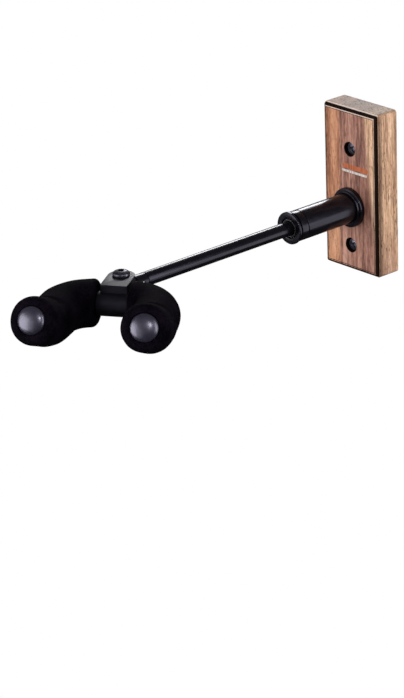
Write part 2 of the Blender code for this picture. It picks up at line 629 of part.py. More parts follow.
def build_knuckle(black, screw_steel, pivot):
    """Forked block that carries the bar and turns on the tongue."""
    front = -BAR_FORWARD - KNUCKLE_NOSE
    outline = arc(0, 0, EAR_RADIUS, 0, 180, 20) + [(-EAR_RADIUS, front), (EAR_RADIUS, front)]
    mesh = prism_mesh("yoke_knuckle", outline, -EAR_OUTER, EAR_OUTER)
    knuckle = add_object("yoke_knuckle", mesh, black, None, pivot)

    bar_centre = Matrix.Translation((0, -BAR_FORWARD, -BAR_DROP))
    bar_line = bar_centre @ Matrix.Rotation(math.pi / 2, 4, "Y")
    boss = guide_cylinder(
        "join_boss", BOSS_RADIUS, -BOSS_HALF_LENGTH, BOSS_HALF_LENGTH, bar_line, pivot, MEDIUM_STEPS)
    boolean(knuckle, "UNION", boss)
    side = EAR_RADIUS + BEYOND
    slot = [(-side, side), (-side, -EAR_RADIUS), (side, -EAR_RADIUS), (side, side)]
    mesh = prism_mesh("cut_fork", slot, -EAR_INNER, EAR_INNER)
    boolean(knuckle, "DIFFERENCE", add_object("cut_fork", mesh, None, None, pivot))
    reach = EAR_OUTER + BEYOND
    boolean(knuckle, "DIFFERENCE", guide_cylinder(
        "cut_pivot_hole", BOLT_RADIUS + GAP, -reach, reach, Matrix(), pivot))
    reach = BOSS_HALF_LENGTH + BEYOND
    boolean(knuckle, "DIFFERENCE", guide_cylinder(
        "cut_bar_hole", BAR_RADIUS + GAP, -reach, reach, bar_line, pivot))

    reach = BOSS_RADIUS + BEYOND
    boolean(knuckle, "DIFFERENCE", guide_cylinder(
        "cut_grub_hole", GRUB_RADIUS + GAP, -reach, -BAR_RADIUS / 2, bar_centre, pivot, SMALL_STEPS))
    low = GRUB_RECESS - BOSS_RADIUS
    high = -BAR_RADIUS - GAP
    outline = [(0.0, high), (GRUB_RADIUS, high), (GRUB_RADIUS, low), (0.0, low)]
    grub = turned_mesh("bar_grub_screw", outline, SMALL_STEPS)
    add_object("bar_grub_screw", grub, screw_steel, bar_centre, pivot)


def build_pivot_fixings(nylon, screw_steel, pivot):
    """Domed bolt, nut and two washers that hold the knuckle on the tongue."""
    seat = EAR_OUTER + GAP
    top = seat + BOLT_HEAD_HEIGHT
    nut_low = -seat - PIVOT_NUT_THICKNESS
    bolt_end = nut_low - BOLT_THREAD_BEYOND
    rise = BOLT_HEAD_HEIGHT - BOLT_HEAD_EDGE
    dome = [(BOLT_HEAD_RADIUS * math.sin(a), seat + BOLT_HEAD_EDGE + rise * math.cos(a))
            for a in (math.pi / 2 * i / 5 for i in range(6))]
    dome[0] = (0.0, top)
    outline = dome + [(BOLT_HEAD_RADIUS, seat), (BOLT_RADIUS, seat), (BOLT_RADIUS, bolt_end), (0.0, bolt_end)]
    mesh = turned_mesh("pivot_bolt", outline, COARSE_STEPS)
    bolt = add_object("pivot_bolt", mesh, screw_steel, None, pivot)
    hexagon = regular_polygon(6, BOLT_KEY_RADIUS)
    key = prism_mesh("cut_bolt_key", hexagon, top - BOLT_KEY_DEPTH, top + BEYOND)
    boolean(bolt, "DIFFERENCE", add_object("cut_bolt_key", key, None, None, pivot))
    hole = BOLT_RADIUS + GAP
    build_hex_nut("pivot_nut", PIVOT_NUT_ACROSS_FLATS, hole, nut_low, -seat, screw_steel, None, pivot)
    inner = TONGUE_THICKNESS / 2 + GAP
    outer = inner + PIVOT_WASHER_THICKNESS
    for label, low, high in (("upper", inner, outer), ("lower", -outer, -inner)):
        outline = [(hole, high), (PIVOT_WASHER_RADIUS, high), (PIVOT_WASHER_RADIUS, low), (hole, low)]
        name = f"pivot_washer_{label}"
        add_object(name, turned_mesh(name, outline, COARSE_STEPS), nylon, None, pivot)


# ---------------------------------------------------------------- assembly

def add_empty(name, location, turn):
    empty = bpy.data.objects.new(name, None)
    bpy.context.scene.collection.objects.link(empty)
    empty.location = location
    empty.rotation_euler = (0, 0, turn)
    bpy.context.view_layer.update()
    return empty


def main():
    for item in list(bpy.data.objects):
        bpy.data.objects.remove(item, do_unlink=True)

    walnut = make_material("walnut", (0.30, 0.16, 0.10), 0.55)
    satin_black = make_material("satin_black", (0.015, 0.015, 0.018), 0.32, 0.6)
    black_screw = make_material("black_screw", (0.02, 0.02, 0.022), 0.35, 0.8)
    plain_steel = make_material("plated_steel", (0.55, 0.55, 0.56), 0.35, 1.0)
    black_nylon = make_material("black_nylon", (0.02, 0.02, 0.022), 0.5)
    foam = make_material("black_foam", (0.013, 0.012, 0.015), 0.85)
    cap_plastic = make_material("cap_plastic", (0.06, 0.06, 0.075), 0.35)

    build_wall_plate(walnut)
    build_wall_screw("upper", UPPER_SCREW_Z, black_screw)
    build_wall_screw("lower", LOWER_SCREW_Z, black_screw)
    build_plate_fixings(plain_steel)
    build_flange(satin_black)
    build_sleeve(satin_black, plain_steel)
    build_clutch(satin_black, black_nylon, plain_steel)

    slide = add_empty("slide_origin", (0, 0, 0), 0)
    rod = build_rod(satin_black, black_nylon, plain_steel, slide)
    tongue = build_tongue(satin_black, slide)
    build_tongue_pin(plain_steel, slide, rod, tongue)

    pivot = add_empty("yoke_pivot", (0, -PIVOT_DISTANCE, ARM_Z), YOKE_REST_ANGLE)
    build_knuckle(satin_black, black_screw, pivot)
    build_pivot_fixings(black_nylon, black_screw, pivot)
    build_yoke_bar(satin_black, pivot)
    for label, side in (("left", -1), ("right", 1)):
        build_foam(label, side, foam, pivot)
        build_cap(label, side, cap_plastic, pivot)
    bpy.context.view_layer.update()


main()
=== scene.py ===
"""Looks of the wall guitar hanger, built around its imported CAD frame.

Lengths are in metres. The wall is the plane y = 0, the arm points along -Y and +Z is up.
Turned pieces are drawn as outlines of (radius, distance) about a local Z axis and laid
along the arm, where the distance is measured from the wall.
"""

import json
from math import cos, hypot, pi, radians, sin, sqrt, tan, tau

import bmesh
import bpy
from mathutils import Matrix, Vector, noise


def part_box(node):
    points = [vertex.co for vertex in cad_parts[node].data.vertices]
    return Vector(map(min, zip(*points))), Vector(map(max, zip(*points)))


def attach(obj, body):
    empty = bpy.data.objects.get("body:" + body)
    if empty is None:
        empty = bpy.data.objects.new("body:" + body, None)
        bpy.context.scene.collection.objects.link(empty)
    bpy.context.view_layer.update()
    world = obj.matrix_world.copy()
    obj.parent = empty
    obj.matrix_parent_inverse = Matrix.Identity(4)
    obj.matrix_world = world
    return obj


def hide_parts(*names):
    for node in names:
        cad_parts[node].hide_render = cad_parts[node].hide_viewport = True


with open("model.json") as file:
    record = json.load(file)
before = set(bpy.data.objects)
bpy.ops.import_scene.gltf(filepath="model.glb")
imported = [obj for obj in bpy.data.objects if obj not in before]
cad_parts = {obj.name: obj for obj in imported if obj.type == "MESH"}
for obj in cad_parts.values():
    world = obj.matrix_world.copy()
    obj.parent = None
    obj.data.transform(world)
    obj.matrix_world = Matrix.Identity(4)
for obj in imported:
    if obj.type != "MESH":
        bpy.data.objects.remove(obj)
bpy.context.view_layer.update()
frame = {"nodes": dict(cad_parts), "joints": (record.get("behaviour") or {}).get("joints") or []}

MM = 0.001
SMOOTH_ANGLE = radians(32)
ROUND_STEPS = 96
SMALL_STEPS = 48


# ---- sizes read from the frame

def turned_size(node):
    """Radius, back and front of a piece that is turned about the arm's axis."""
    low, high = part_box(node)
    return (high.x - low.x) / 2, -high.y, -low.y


def joint(name):
    return next(j for j in frame["joints"] if j["name"] == name)


PIVOT = Vector(joint("yoke_swivel")["pos_m"])
ARM_Z = PIVOT.z

# The yoke is drawn straight ahead of its pivot and then turned to its rest angle.
YOKE_REST_ANGLE = radians(33.5)
YOKE = Matrix.Translation(PIVOT) @ Matrix.Rotation(YOKE_REST_ANGLE, 4, "Z")
BAR_FORWARD = 17.0 * MM
BAR_DROP = 4.5 * MM
BAR_RADIUS = 4.0 * MM
BAR_HALF_STRAIGHT = 11.0 * MM
CORNER_BEND_RADIUS = 19.5 * MM
PRONG_SPLAY = radians(6.3)
PRONG_STRAIGHT = 12.5 * MM
TIP_BEND_RADIUS = 27.0 * MM
TIP_RISE = radians(23.5)
TIP_STRAIGHT = 20.0 * MM
FOAM_RADIUS = 15.0 * MM
FOAM_TIP_ROUNDING = 5.0 * MM
FOAM_BACK_ROUNDING = 3.0 * MM
PIVOT_HOLE_RADIUS = 3.3 * MM

GAP = 0.3 * MM  # between pieces that touch or fit into each other


def arm_matrix(z=ARM_Z):
    """Local Z runs along the arm, away from the wall; local Y points down."""
    return Matrix.Translation((0, 0, z)) @ Matrix.Rotation(radians(90), 4, "X")


ARM = arm_matrix()


# ---- node trees

class Tree:
    """Short-hand for building a material's nodes."""

    def __init__(self, name, roughness, metallic=0.0, specular=0.5):
        self.material = bpy.data.materials.new(name)
        self.material.use_nodes = True
        self.tree = self.material.node_tree
        self.shader = self.tree.nodes["Principled BSDF"]
        self.set(Roughness=roughness, Metallic=metallic, Specular_IOR_Level=specular)
        coordinates = self.add("ShaderNodeTexCoord")
        self.place = coordinates.outputs["Object"]
        self.facing = coordinates.outputs["Normal"]

    def add(self, kind, **settings):
        node = self.tree.nodes.new(kind)
        for key, value in settings.items():
            setattr(node, key, value)
        return node

    def set(self, **values):
        for key, value in values.items():
            self.shader.inputs[key.replace("_", " ")].default_value = value

    def link(self, source, target):
        self.tree.links.new(source, target)

    def feed(self, source, socket):
        self.link(source, self.shader.inputs[socket])

    def split(self, vector):
        node = self.add("ShaderNodeSeparateXYZ")
        self.link(vector, node.inputs[0])
        return node.outputs

    def stretched(self, per_metre):
        """Object coordinates multiplied on each axis, for a grain that runs one way."""
        scale = self.add("ShaderNodeVectorMath", operation="MULTIPLY")
        self.link(self.place, scale.inputs[0])
        scale.inputs[1].default_value = per_metre
        return scale.outputs[0]

    def noise(self, per_metre, detail=2.0, rough=0.5):
        place = self.stretched(per_metre)
        node = self.add("ShaderNodeTexNoise")
        self.link(place, node.inputs["Vector"])
        for key, value in (("Scale", 1.0), ("Detail", detail), ("Roughness", rough)):
            node.inputs[key].default_value = value
        return node.outputs["Fac"]

    def math(self, operation, *terms):
        node = self.add("ShaderNodeMath", operation=operation)
        for socket, term in zip(node.inputs, terms):
            if isinstance(term, (int, float)):
                socket.default_value = term
            else:
                self.link(term, socket)
        return node.outputs[0]

    def plus(self, a, b):
        return self.math("ADD", a, b)

    def times(self, a, b):
        return self.math("MULTIPLY", a, b)

    def spread(self, value, low, high, to_low=0.0, to_high=1.0, smooth=True):
        """Map a range of a value to another, held at both ends."""
        node = self.add("ShaderNodeMapRange")
        node.interpolation_type = "SMOOTHSTEP" if smooth else "LINEAR"
        self.link(value, node.inputs["Value"])
        for key, number in (("From Min", low), ("From Max", high), ("To Min", to_low), ("To Max", to_high)):
            node.inputs[key].default_value = number
        return node.outputs["Result"]

    def ramp(self, value, *stops):
        node = self.add("ShaderNodeValToRGB")
        self.link(value, node.inputs["Fac"])
        stretch = node.color_ramp.elements
        while len(stretch) < len(stops):
            stretch.new(0.5)
        for element, (position, colour) in zip(stretch, stops):
            element.position = position
            element.color = (*colour, 1.0)
        return node.outputs["Color"]

    def mix(self, factor, a, b):
        node = self.add("ShaderNodeMix", data_type="RGBA")
        for socket, term in ((node.inputs[0], factor), (node.inputs[6], a), (node.inputs[7], b)):
            if isinstance(term, (int, float)):
                socket.default_value = term
            elif isinstance(term, tuple):
                socket.default_value = (*term, 1.0)
            else:
                self.link(term, socket)
        return node.outputs[2]

    def bump(self, height, distance, strength):
        """Add a height, of one unit per distance, to the surface's normal."""
        node = self.add("ShaderNodeBump")
        node.inputs["Strength"].default_value = strength
        node.inputs["Distance"].default_value = distance
        self.link(height, node.inputs["Height"])
        self.feed(node.outputs["Normal"], "Normal")


# ---- materials

def wood_material(name, finish="oiled"):
    """Walnut with its grain along Z: a paler band on the left, tan towards the right side, which is also
    painted lighter as painted light.

    finish is "oiled", the near-black finish for the dark border, which also paints shade into the scored line
    and the screw wells, or the pale finish that paints a highlight on the top edges.
    """
    t = Tree(name, 0.5, specular=0.05 if finish == "stained_and_shaded" else 0.22)
    low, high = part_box("wall_plate")
    x = t.split(t.place)[0]
    drift = t.noise((70, 70, 9), detail=3.0)
    across = t.plus(x, t.times(t.math("SUBTRACT", drift, 0.5), 9 * MM))

    band = t.noise((190, 190, 9), detail=3.0, rough=0.5)
    streak = t.noise((620, 620, 38), detail=4.0, rough=0.6)
    fibre = t.noise((1500, 1500, 130), detail=3.0, rough=0.7)
    tone = t.plus(t.times(band, 0.34), t.plus(t.times(streak, 0.36), t.times(fibre, 0.34)))
    # painted light: a paler patch below the arm, short of the right-hand edge, that brightens the lower face
    height = t.split(t.place)[2]
    patch = t.times(t.spread(height, -38 * MM, -12 * MM, 0.03, 0.0),
                   t.spread(across, 4 * MM, 12 * MM, 1.0, 0.0))
    tone = t.plus(tone, patch)
    heart = t.ramp(
        tone, (0.41, (0.105, 0.040, 0.031)), (0.49, (0.225, 0.099, 0.073)),
        (0.55, (0.37, 0.176, 0.126)), (0.64, (0.56, 0.312, 0.236)))
    pale = t.ramp(
        tone, (0.41, (0.23, 0.086, 0.044)), (0.49, (0.40, 0.168, 0.090)),
        (0.55, (0.54, 0.248, 0.136)), (0.64, (0.75, 0.40, 0.24)))
    tan_wood_and_side_light = t.ramp(
        tone, (0.41, (0.26, 0.135, 0.074)), (0.49, (0.55, 0.318, 0.194)),
        (0.55, (0.73, 0.45, 0.28)), (0.64, (0.94, 0.66, 0.47)))
    pale_band = t.spread(across, low.x + 13.5 * MM, low.x + 16.0 * MM, 1.0, 0.0)
    # the tan wood shows on the right-hand side, and further onto the face towards the top; the tan colours
    # are also painted lighter there, as painted light on the right side
    lean = t.plus(across, t.times(height, 0.09))
    tan_and_lit_side = t.spread(lean, high.x - 8.0 * MM, high.x - 2.0 * MM, 0.0, 1.0)
    colour = t.mix(tan_and_lit_side, t.mix(pale_band, heart, pale), tan_wood_and_side_light)

    # end grain on the top and bottom is greyer, and on the top face this grey also stands in as a painted
    # sheen
    end = t.spread(t.math("ABSOLUTE", t.split(t.facing)[2]), 0.6, 0.9, 0.0, 0.6)
    colour = t.mix(end, colour, (0.34, 0.275, 0.222))

    # open pores: short dark strokes along the grain, fainter on the front face
    pore_field = t.noise((900, 900, 230), detail=2.0, rough=0.6)
    crowd = t.spread(t.noise((230, 230, 40), detail=1.0), 0.35, 0.65, 0.35, 1.0)
    pores = t.times(t.spread(pore_field, 0.52, 0.66), crowd)
    on_face = t.math("ABSOLUTE", t.split(t.facing)[1])
    pore_depth = t.times(pores, t.spread(on_face, 0.3, 0.9, 0.85, 0.5))
    colour = t.mix(pore_depth, colour, (0.06, 0.026, 0.016))

    # the sides darken towards the border, most near the bottom
    side = t.math("ABSOLUTE", t.split(t.facing)[0])
    front = t.spread(t.split(t.place)[1], low.y + 2.0 * MM, low.y + 6.5 * MM, 1.0, 0.0, smooth=False)
    run = t.spread(height, -30 * MM, 35 * MM, 0.98, 0.78)
    side_darkening = t.times(t.times(side, front), run)
    colour = t.mix(side_darkening, colour, (0.055, 0.02, 0.012))
    # near-black finish: the border's own dark colour, and painted shade where it is also put in the scored
    # line and the screw wells
    if finish == "stained_and_shaded":
        colour = t.mix(0.985, colour, (0.005, 0.0015, 0.001))
    # painted highlight: pale cream mixed in where this finish is put on the top edges
    if finish == "wear_and_highlight":
        colour = t.mix(0.7, colour, (0.86, 0.72, 0.63))
    t.feed(colour, "Base Color")
    gloss = t.spread(fibre, 0.2, 0.8, 0.42, 0.6, smooth=False)
    t.feed(t.plus(gloss, t.times(pores, 0.2)), "Roughness")
    relief = t.math("SUBTRACT", t.times(fibre, 0.45), pores)
    t.bump(relief, 0.09 * MM, 0.7)
    return t.material


def coated_metal_material(name, smoothest=0.2, roughest=0.25):
    """Satin black coat with the fine pebble of powder coating."""
    t = Tree(name, smoothest, specular=0.32)
    cloud = t.noise((120, 120, 120), detail=3.0)
    t.feed(t.ramp(cloud, (0.3, (0.0024, 0.0021, 0.0032)), (0.7, (0.0046, 0.0041, 0.0060))), "Base Color")
    t.feed(t.spread(cloud, 0.25, 0.75, smoothest, roughest), "Roughness")
    pebble = t.noise((2600, 2600, 2600), detail=2.0, rough=0.5)
    t.bump(pebble, 0.0015 * MM, 0.4)
    t.set(Specular_Tint=(0.80, 0.75, 1.0, 1.0))
    return t.material


def screw_material(name):
    """Black oxide on steel, worn a little brighter in patches."""
    t = Tree(name, 0.35, metallic=0.9)
    wear = t.noise((900, 900, 900), detail=4.0, rough=0.65)
    t.feed(t.ramp(wear, (0.38, (0.035, 0.033, 0.042)), (0.56, (0.085, 0.08, 0.105)),
                  (0.72, (0.24, 0.235, 0.28))), "Base Color")
    t.feed(t.spread(wear, 0.3, 0.8, 0.42, 0.26), "Roughness")
    t.bump(wear, 0.02 * MM, 0.4)
    return t.material


def plated_material(name):
    """Zinc-plated turned steel with fine lathe marks round the arm's axis."""
    t = Tree(name, 0.3, metallic=1.0)
    marks = t.noise((500, 9000, 500), detail=3.0, rough=0.6)
    t.feed(t.ramp(marks, (0.3, (0.45, 0.45, 0.46)), (0.7, (0.62, 0.61, 0.59))), "Base Color")
    t.feed(t.spread(marks, 0.2, 0.8, 0.24, 0.42), "Roughness")
    t.bump(marks, 0.01 * MM, 0.4)
    return t.material


def nylon_material(name):
    """Matt black nylon."""
    t = Tree(name, 0.5, specular=0.45)
    grain = t.noise((1800, 1800, 1800), detail=3.0)
    t.feed(t.ramp(grain, (0.3, (0.014, 0.014, 0.016)), (0.7, (0.028, 0.028, 0.031))), "Base Color")
    t.feed(t.spread(grain, 0.3, 0.7, 0.44, 0.58), "Roughness")
    t.bump(grain, 0.02 * MM, 0.35)
    return t.material


def foam_material(name):
    """Dense closed-cell foam: a fine pitted skin that scatters light and hardly shines."""
    t = Tree(name, 0.85, specular=0.02)
    patch = t.noise((90, 90, 90), detail=3.0)
    cell_noise = t.noise((1000, 1000, 1000), detail=3.0, rough=0.65)
    cells = t.add("ShaderNodeTexVoronoi", feature="F1")
    t.link(t.stretched((2100, 2100, 2100)), cells.inputs["Vector"])
    cells.inputs["Scale"].default_value = 1.0
    pits = t.spread(cells.outputs["Distance"], 0.15, 0.6)
    shade = t.plus(t.times(cell_noise, 0.6), t.times(patch, 0.4))
    t.feed(t.ramp(shade, (0.40, (0.0004, 0.0002, 0.0008)), (0.62, (0.0062, 0.0038, 0.0082))), "Base Color")
    t.feed(t.spread(cell_noise, 0.3, 0.7, 0.72, 0.9), "Roughness")
    t.bump(t.plus(pits, cell_noise), 0.05 * MM, 0.6)
    return t.material


def cap_material(name):
    """Dark grey-violet moulded plastic with a soft shine."""
    t = Tree(name, 0.33, specular=0.9)
    cloud = t.noise((260, 260, 260), detail=2.0)
    t.feed(t.ramp(cloud, (0.3, (0.013, 0.0115, 0.020)), (0.7, (0.019, 0.017, 0.029))), "Base Color")
    t.feed(t.spread(cloud, 0.3, 0.7, 0.31, 0.35), "Roughness")
    t.set(Specular_Tint=(0.84, 0.80, 1.0, 1.0), IOR=1.6)
    return t.material


def print_material(name, colour):
    """Thin screen print that follows the wood's pores."""
    t = Tree(name, 0.55, specular=0.35)
    wear_and_highlight = t.noise((1500, 1500, 95), detail=2.0, rough=0.5)
    faint = tuple(0.55 * c for c in colour)
    t.feed(t.ramp(wear_and_highlight, (0.38, colour), (0.7, faint)), "Base Color")
    t.feed(t.spread(wear_and_highlight, 0.3, 0.7, 0.48, 0.62), "Roughness")
    t.bump(wear_and_highlight, 0.03 * MM, 0.4)
    return t.material


# ---- mesh helpers

def quarter_turn(steps):
    """Angles from 0 to 90 degrees."""
    return [pi / 2 * i / steps for i in range(steps + 1)]


def filleted(corners, steps=5):
    """Outline points from (radius, distance, fillet) corners; one without a fillet stays sharp.

    The outline's two ends have no fillet, unless it closes into a ring.
    """
    points = []
    for i, (r, t, *fillet) in enumerate(corners):
        here = Vector((r, t))
        if not fillet:
            points.append((r, t))
            continue
        before = Vector(corners[i - 1][:2]) - here
        after = Vector(corners[(i + 1) % len(corners)][:2]) - here
        half = before.angle(after) / 2
        tangent = min(fillet[0] / tan(half), 0.49 * before.length, 0.49 * after.length)
        radius = tangent * tan(half)
        centre = here + (before.normalized() + after.normalized()).normalized() * (radius / sin(half))
        start = here + before.normalized() * tangent - centre
        end = here + after.normalized() * tangent - centre
        sweep = start.angle_signed(end)
        for k in range(steps + 1):
            turn = -sweep * k / steps
            c, s = cos(turn), sin(turn)
            points.append((centre.x + start.x * c - start.y * s, centre.y + start.x * s + start.y * c))
    return points


def put_in_scene(name, data):
    item = bpy.data.objects.new(name, data)
    bpy.context.scene.collection.objects.link(item)
    return item


def to_mesh(name, bm, matrix=None):
    bmesh.ops.remove_doubles(bm, verts=bm.verts, dist=1e-7)
    bmesh.ops.recalc_face_normals(bm, faces=bm.faces)
    mesh = bpy.data.meshes.new(name)
    bm.to_mesh(mesh)
    bm.free()
    if matrix is not None:
        mesh.transform(matrix)
    mesh.shade_smooth()
    mesh.set_sharp_from_angle(angle=SMOOTH_ANGLE)
    return mesh


def skinned(name, rings, ends, matrix=None, closed=True):
    """Skin a row of rings: ends is "filled" for a bar, or "joined" where the last meets the first.

    closed says that each ring's last point meets its first.
    """
    bm = bmesh.new()
    rows = [[bm.verts.new(p) for p in ring] for ring in rings]
    pairs = list(zip(rows, rows[1:]))
    if ends == "joined":
        pairs.append((rows[-1], rows[0]))
    for low, high in pairs:
        for i in range(len(low) if closed else len(low) - 1):
            j = (i + 1) % len(low)
            bm.faces.new((low[i], low[j], high[j], high[i]))
    if ends == "filled":
        bm.faces.new(rows[0])
        bm.faces.new(rows[-1])
    return to_mesh(name, bm, matrix)


def turned(name, outline, matrix, steps=ROUND_STEPS):
    """Turn an outline about local Z; one that leaves the axis open is closed into a ring."""
    turns = [tau * k / steps for k in range(steps)]
    rings = [[(r * cos(a), r * sin(a), t) for r, t in outline] for a in turns]
    off_axis = outline[0][0] > 0 or outline[-1][0] > 0
    return skinned(name, rings, "joined", matrix, closed=off_axis)


def prism(name, outline, low, high, matrix=None):
    """A flat outline drawn out along local Z."""
    rings = [[(x, y, along) for x, y in outline] for along in (low, high)]
    return skinned(name, rings, "filled", matrix)


def arc_points(centre_x, centre_y, radius, start, end, count):
    angles = [radians(start + (end - start) * i / count) for i in range(count + 1)]
    return [(centre_x + radius * cos(a), centre_y + radius * sin(a)) for a in angles]


def rounded_rectangle(half_width, half_height, radius, steps=10):
    points = []
    for sign_x, sign_y, start in ((1, 1, 0), (-1, 1, 90), (-1, -1, 180), (1, -1, 270)):
        points += arc_points(
            sign_x * (half_width - radius), sign_y * (half_height - radius), radius, start, start + 90, steps)
    return points


def polygon(sides, radius, turn=0.0):
    angles = [turn + tau * i / sides for i in range(sides)]
    return [(radius * cos(a), radius * sin(a)) for a in angles]


def cut(mesh):
    """The carving step that takes a mesh away."""
    return "DIFFERENCE", mesh


def carved(name, mesh, operations, bevel=0.0):
    """Apply (operation, mesh) steps to a mesh, then round its edges by the bevel."""
    base = put_in_scene("carving", mesh)
    tools = []
    for operation, tool_mesh in operations:
        tool = put_in_scene("carving_tool", tool_mesh)
        tools.append(tool)
        modifier = base.modifiers.new("carve", "BOOLEAN")
        modifier.operation = operation
        modifier.object = tool
        modifier.solver = "EXACT"
    if bevel:
        weld = base.modifiers.new("weld", "WELD")
        weld.merge_threshold = 0.002 * MM
        modifier = base.modifiers.new("round_edges", "BEVEL")
        modifier.width = bevel
        modifier.segments = 3
        modifier.limit_method = "ANGLE"
        modifier.angle_limit = radians(40)
        modifier.miter_outer = "MITER_ARC"
    graph = bpy.context.evaluated_depsgraph_get()
    result = bpy.data.meshes.new_from_object(base.evaluated_get(graph))
    for item in [base] + tools:
        used = item.data
        bpy.data.objects.remove(item)
        bpy.data.meshes.remove(used)
    result.name = name
    result.shade_smooth()
    result.set_sharp_from_angle(angle=SMOOTH_ANGLE)
    return result


def piece(mesh, finish, body, *replaced):
    """Put a mesh on a body, in place of the CAD nodes that it stands for.

    finish holds the material and the CAD slot that it belongs to; the slot is not used.
    """
    material, slot = finish
    item = put_in_scene(mesh.name, mesh)
    mesh.materials.clear()
    mesh.materials.append(material)
    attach(item, body)
    if replaced:
        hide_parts(*replaced)
    return item


def thread_piece(owner, mesh, finish, body):
    """Put a thread on a body as a part of the piece that it is cut on."""
    item = piece(mesh, finish, body)
    item.parent = owner
    item.matrix_parent_inverse = Matrix.Identity(4)


def threaded(name, major, minor, pitch, low, high, matrix, tip=0.0, steps=36):
    """A screw thread between two distances, closed at both ends.

    tip is the length over which it tapers to a point at low.
    """
    rows = []
    row_height = pitch / 8
    count = int(round((high - low) / row_height))
    for k in range(count + 1):
        along = low + (high - low) * k / count
        taper = min(1.0, (along - low) / tip) if tip else 1.0
        ring = []
        for i in range(steps):
            angle = tau * i / steps
            phase = (along / pitch - angle / tau) % 1.0
            crest = max(0.0, 1.0 - abs(phase - 0.5) * 3.2)
            radius = (minor + (major - minor) * crest) * (0.08 + 0.92 * taper ** 0.8)
            ring.append((radius * cos(angle), radius * sin(angle), along))
        rows.append(ring)
    return skinned(name, rows, "filled", matrix)


# ---- wall plate

PLATE_LOW, PLATE_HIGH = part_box("wall_plate")
PLATE_FRONT = -PLATE_LOW.y
SCREWS = {"upper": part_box("wall_screw_upper"), "lower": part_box("wall_screw_lower")}
ARRIS = 0.6 * MM  # rounding between the sides and the border
BORDER_RADIUS = 1.6 * MM
PANEL_STEP = 0.4 * MM  # how far the panel stands above the border
PANEL_INSET = 2.3 * MM
PANEL_EDGE = 0.35 * MM  # rounding of the raised panel's edge
LINE_START = 2.9 * MM  # inset of the scored line just inside the panel's edge
LINE_WIDTH = 0.4 * MM
LINE_DEPTH = 0.18 * MM
CORNER_RADIUS = 2.0 * MM
BACK_EDGE = 0.4 * MM
COUNTERBORE_RADIUS = 4.8 * MM
COUNTERBORE_DEPTH = 4.6 * MM
SCREW_HOLE_RADIUS = 2.6 * MM
STUD_HOLE_RADIUS = 4.4 * MM


def plate_mesh():
    """Block with eased edges, a quarter-round border and a raised panel with a scored line round it."""
    start = PLATE_FRONT - PANEL_STEP - BORDER_RADIUS
    panel_start = PLATE_FRONT - PANEL_EDGE
    profile = arc_points(BACK_EDGE, BACK_EDGE, BACK_EDGE, 270, 180, 4)
    profile += [(0.0, (start - ARRIS) * k / 12) for k in range(1, 12)]
    profile += arc_points(ARRIS, start - ARRIS, ARRIS, 180, 90, 4)
    profile += arc_points(ARRIS + BORDER_RADIUS, start, BORDER_RADIUS, 180, 90, 8)[1:]
    profile += [(PANEL_INSET, PLATE_FRONT - PANEL_STEP)]
    profile += arc_points(PANEL_INSET + PANEL_EDGE, panel_start, PANEL_EDGE, 180, 90, 4)
    profile += [(LINE_START, PLATE_FRONT), (LINE_START + LINE_WIDTH / 2, PLATE_FRONT - LINE_DEPTH),
                (LINE_START + LINE_WIDTH, PLATE_FRONT)]
    half_width = PLATE_HIGH.x
    half_height = PLATE_HIGH.z
    rings = []
    for inset, depth in profile:
        radius = max(CORNER_RADIUS - inset, 0.8 * MM)
        outline = rounded_rectangle(half_width - inset, half_height - inset, radius)
        rings.append([(x, -depth, z) for x, z in outline])
    mesh = skinned("wall_plate_block", rings, "filled")

    cuts = []
    past = 1 * MM  # how far the cutters stand out of the plate
    through = PLATE_FRONT + past
    ease = 0.25 * MM  # small chamfer round each hole's mouth
    for low, high in SCREWS.values():
        z = (low.z + high.z) / 2
        floor = PLATE_FRONT - COUNTERBORE_DEPTH
        outline = [
            (0.0, through), (COUNTERBORE_RADIUS + ease + past, through),
            (COUNTERBORE_RADIUS, PLATE_FRONT - ease), (COUNTERBORE_RADIUS, floor),
            (SCREW_HOLE_RADIUS, floor), (SCREW_HOLE_RADIUS, -past), (0.0, -past),
        ]
        cuts.append(cut(turned("cut_screw", outline, arm_matrix(z), SMALL_STEPS)))
    washer_radius, _, washer_front = turned_size("plate_washer")
    pocket_floor = washer_front + GAP
    pocket_radius = washer_radius + 1 * MM
    outline = [
        (0.0, through), (STUD_HOLE_RADIUS, through), (STUD_HOLE_RADIUS, pocket_floor),
        (pocket_radius, pocket_floor), (pocket_radius, ease), (pocket_radius + ease + past, -past),
        (0.0, -past),
    ]
    cuts.append(cut(turned("cut_pocket", outline, ARM)))
    return carved("walnut_plate", mesh, cuts)


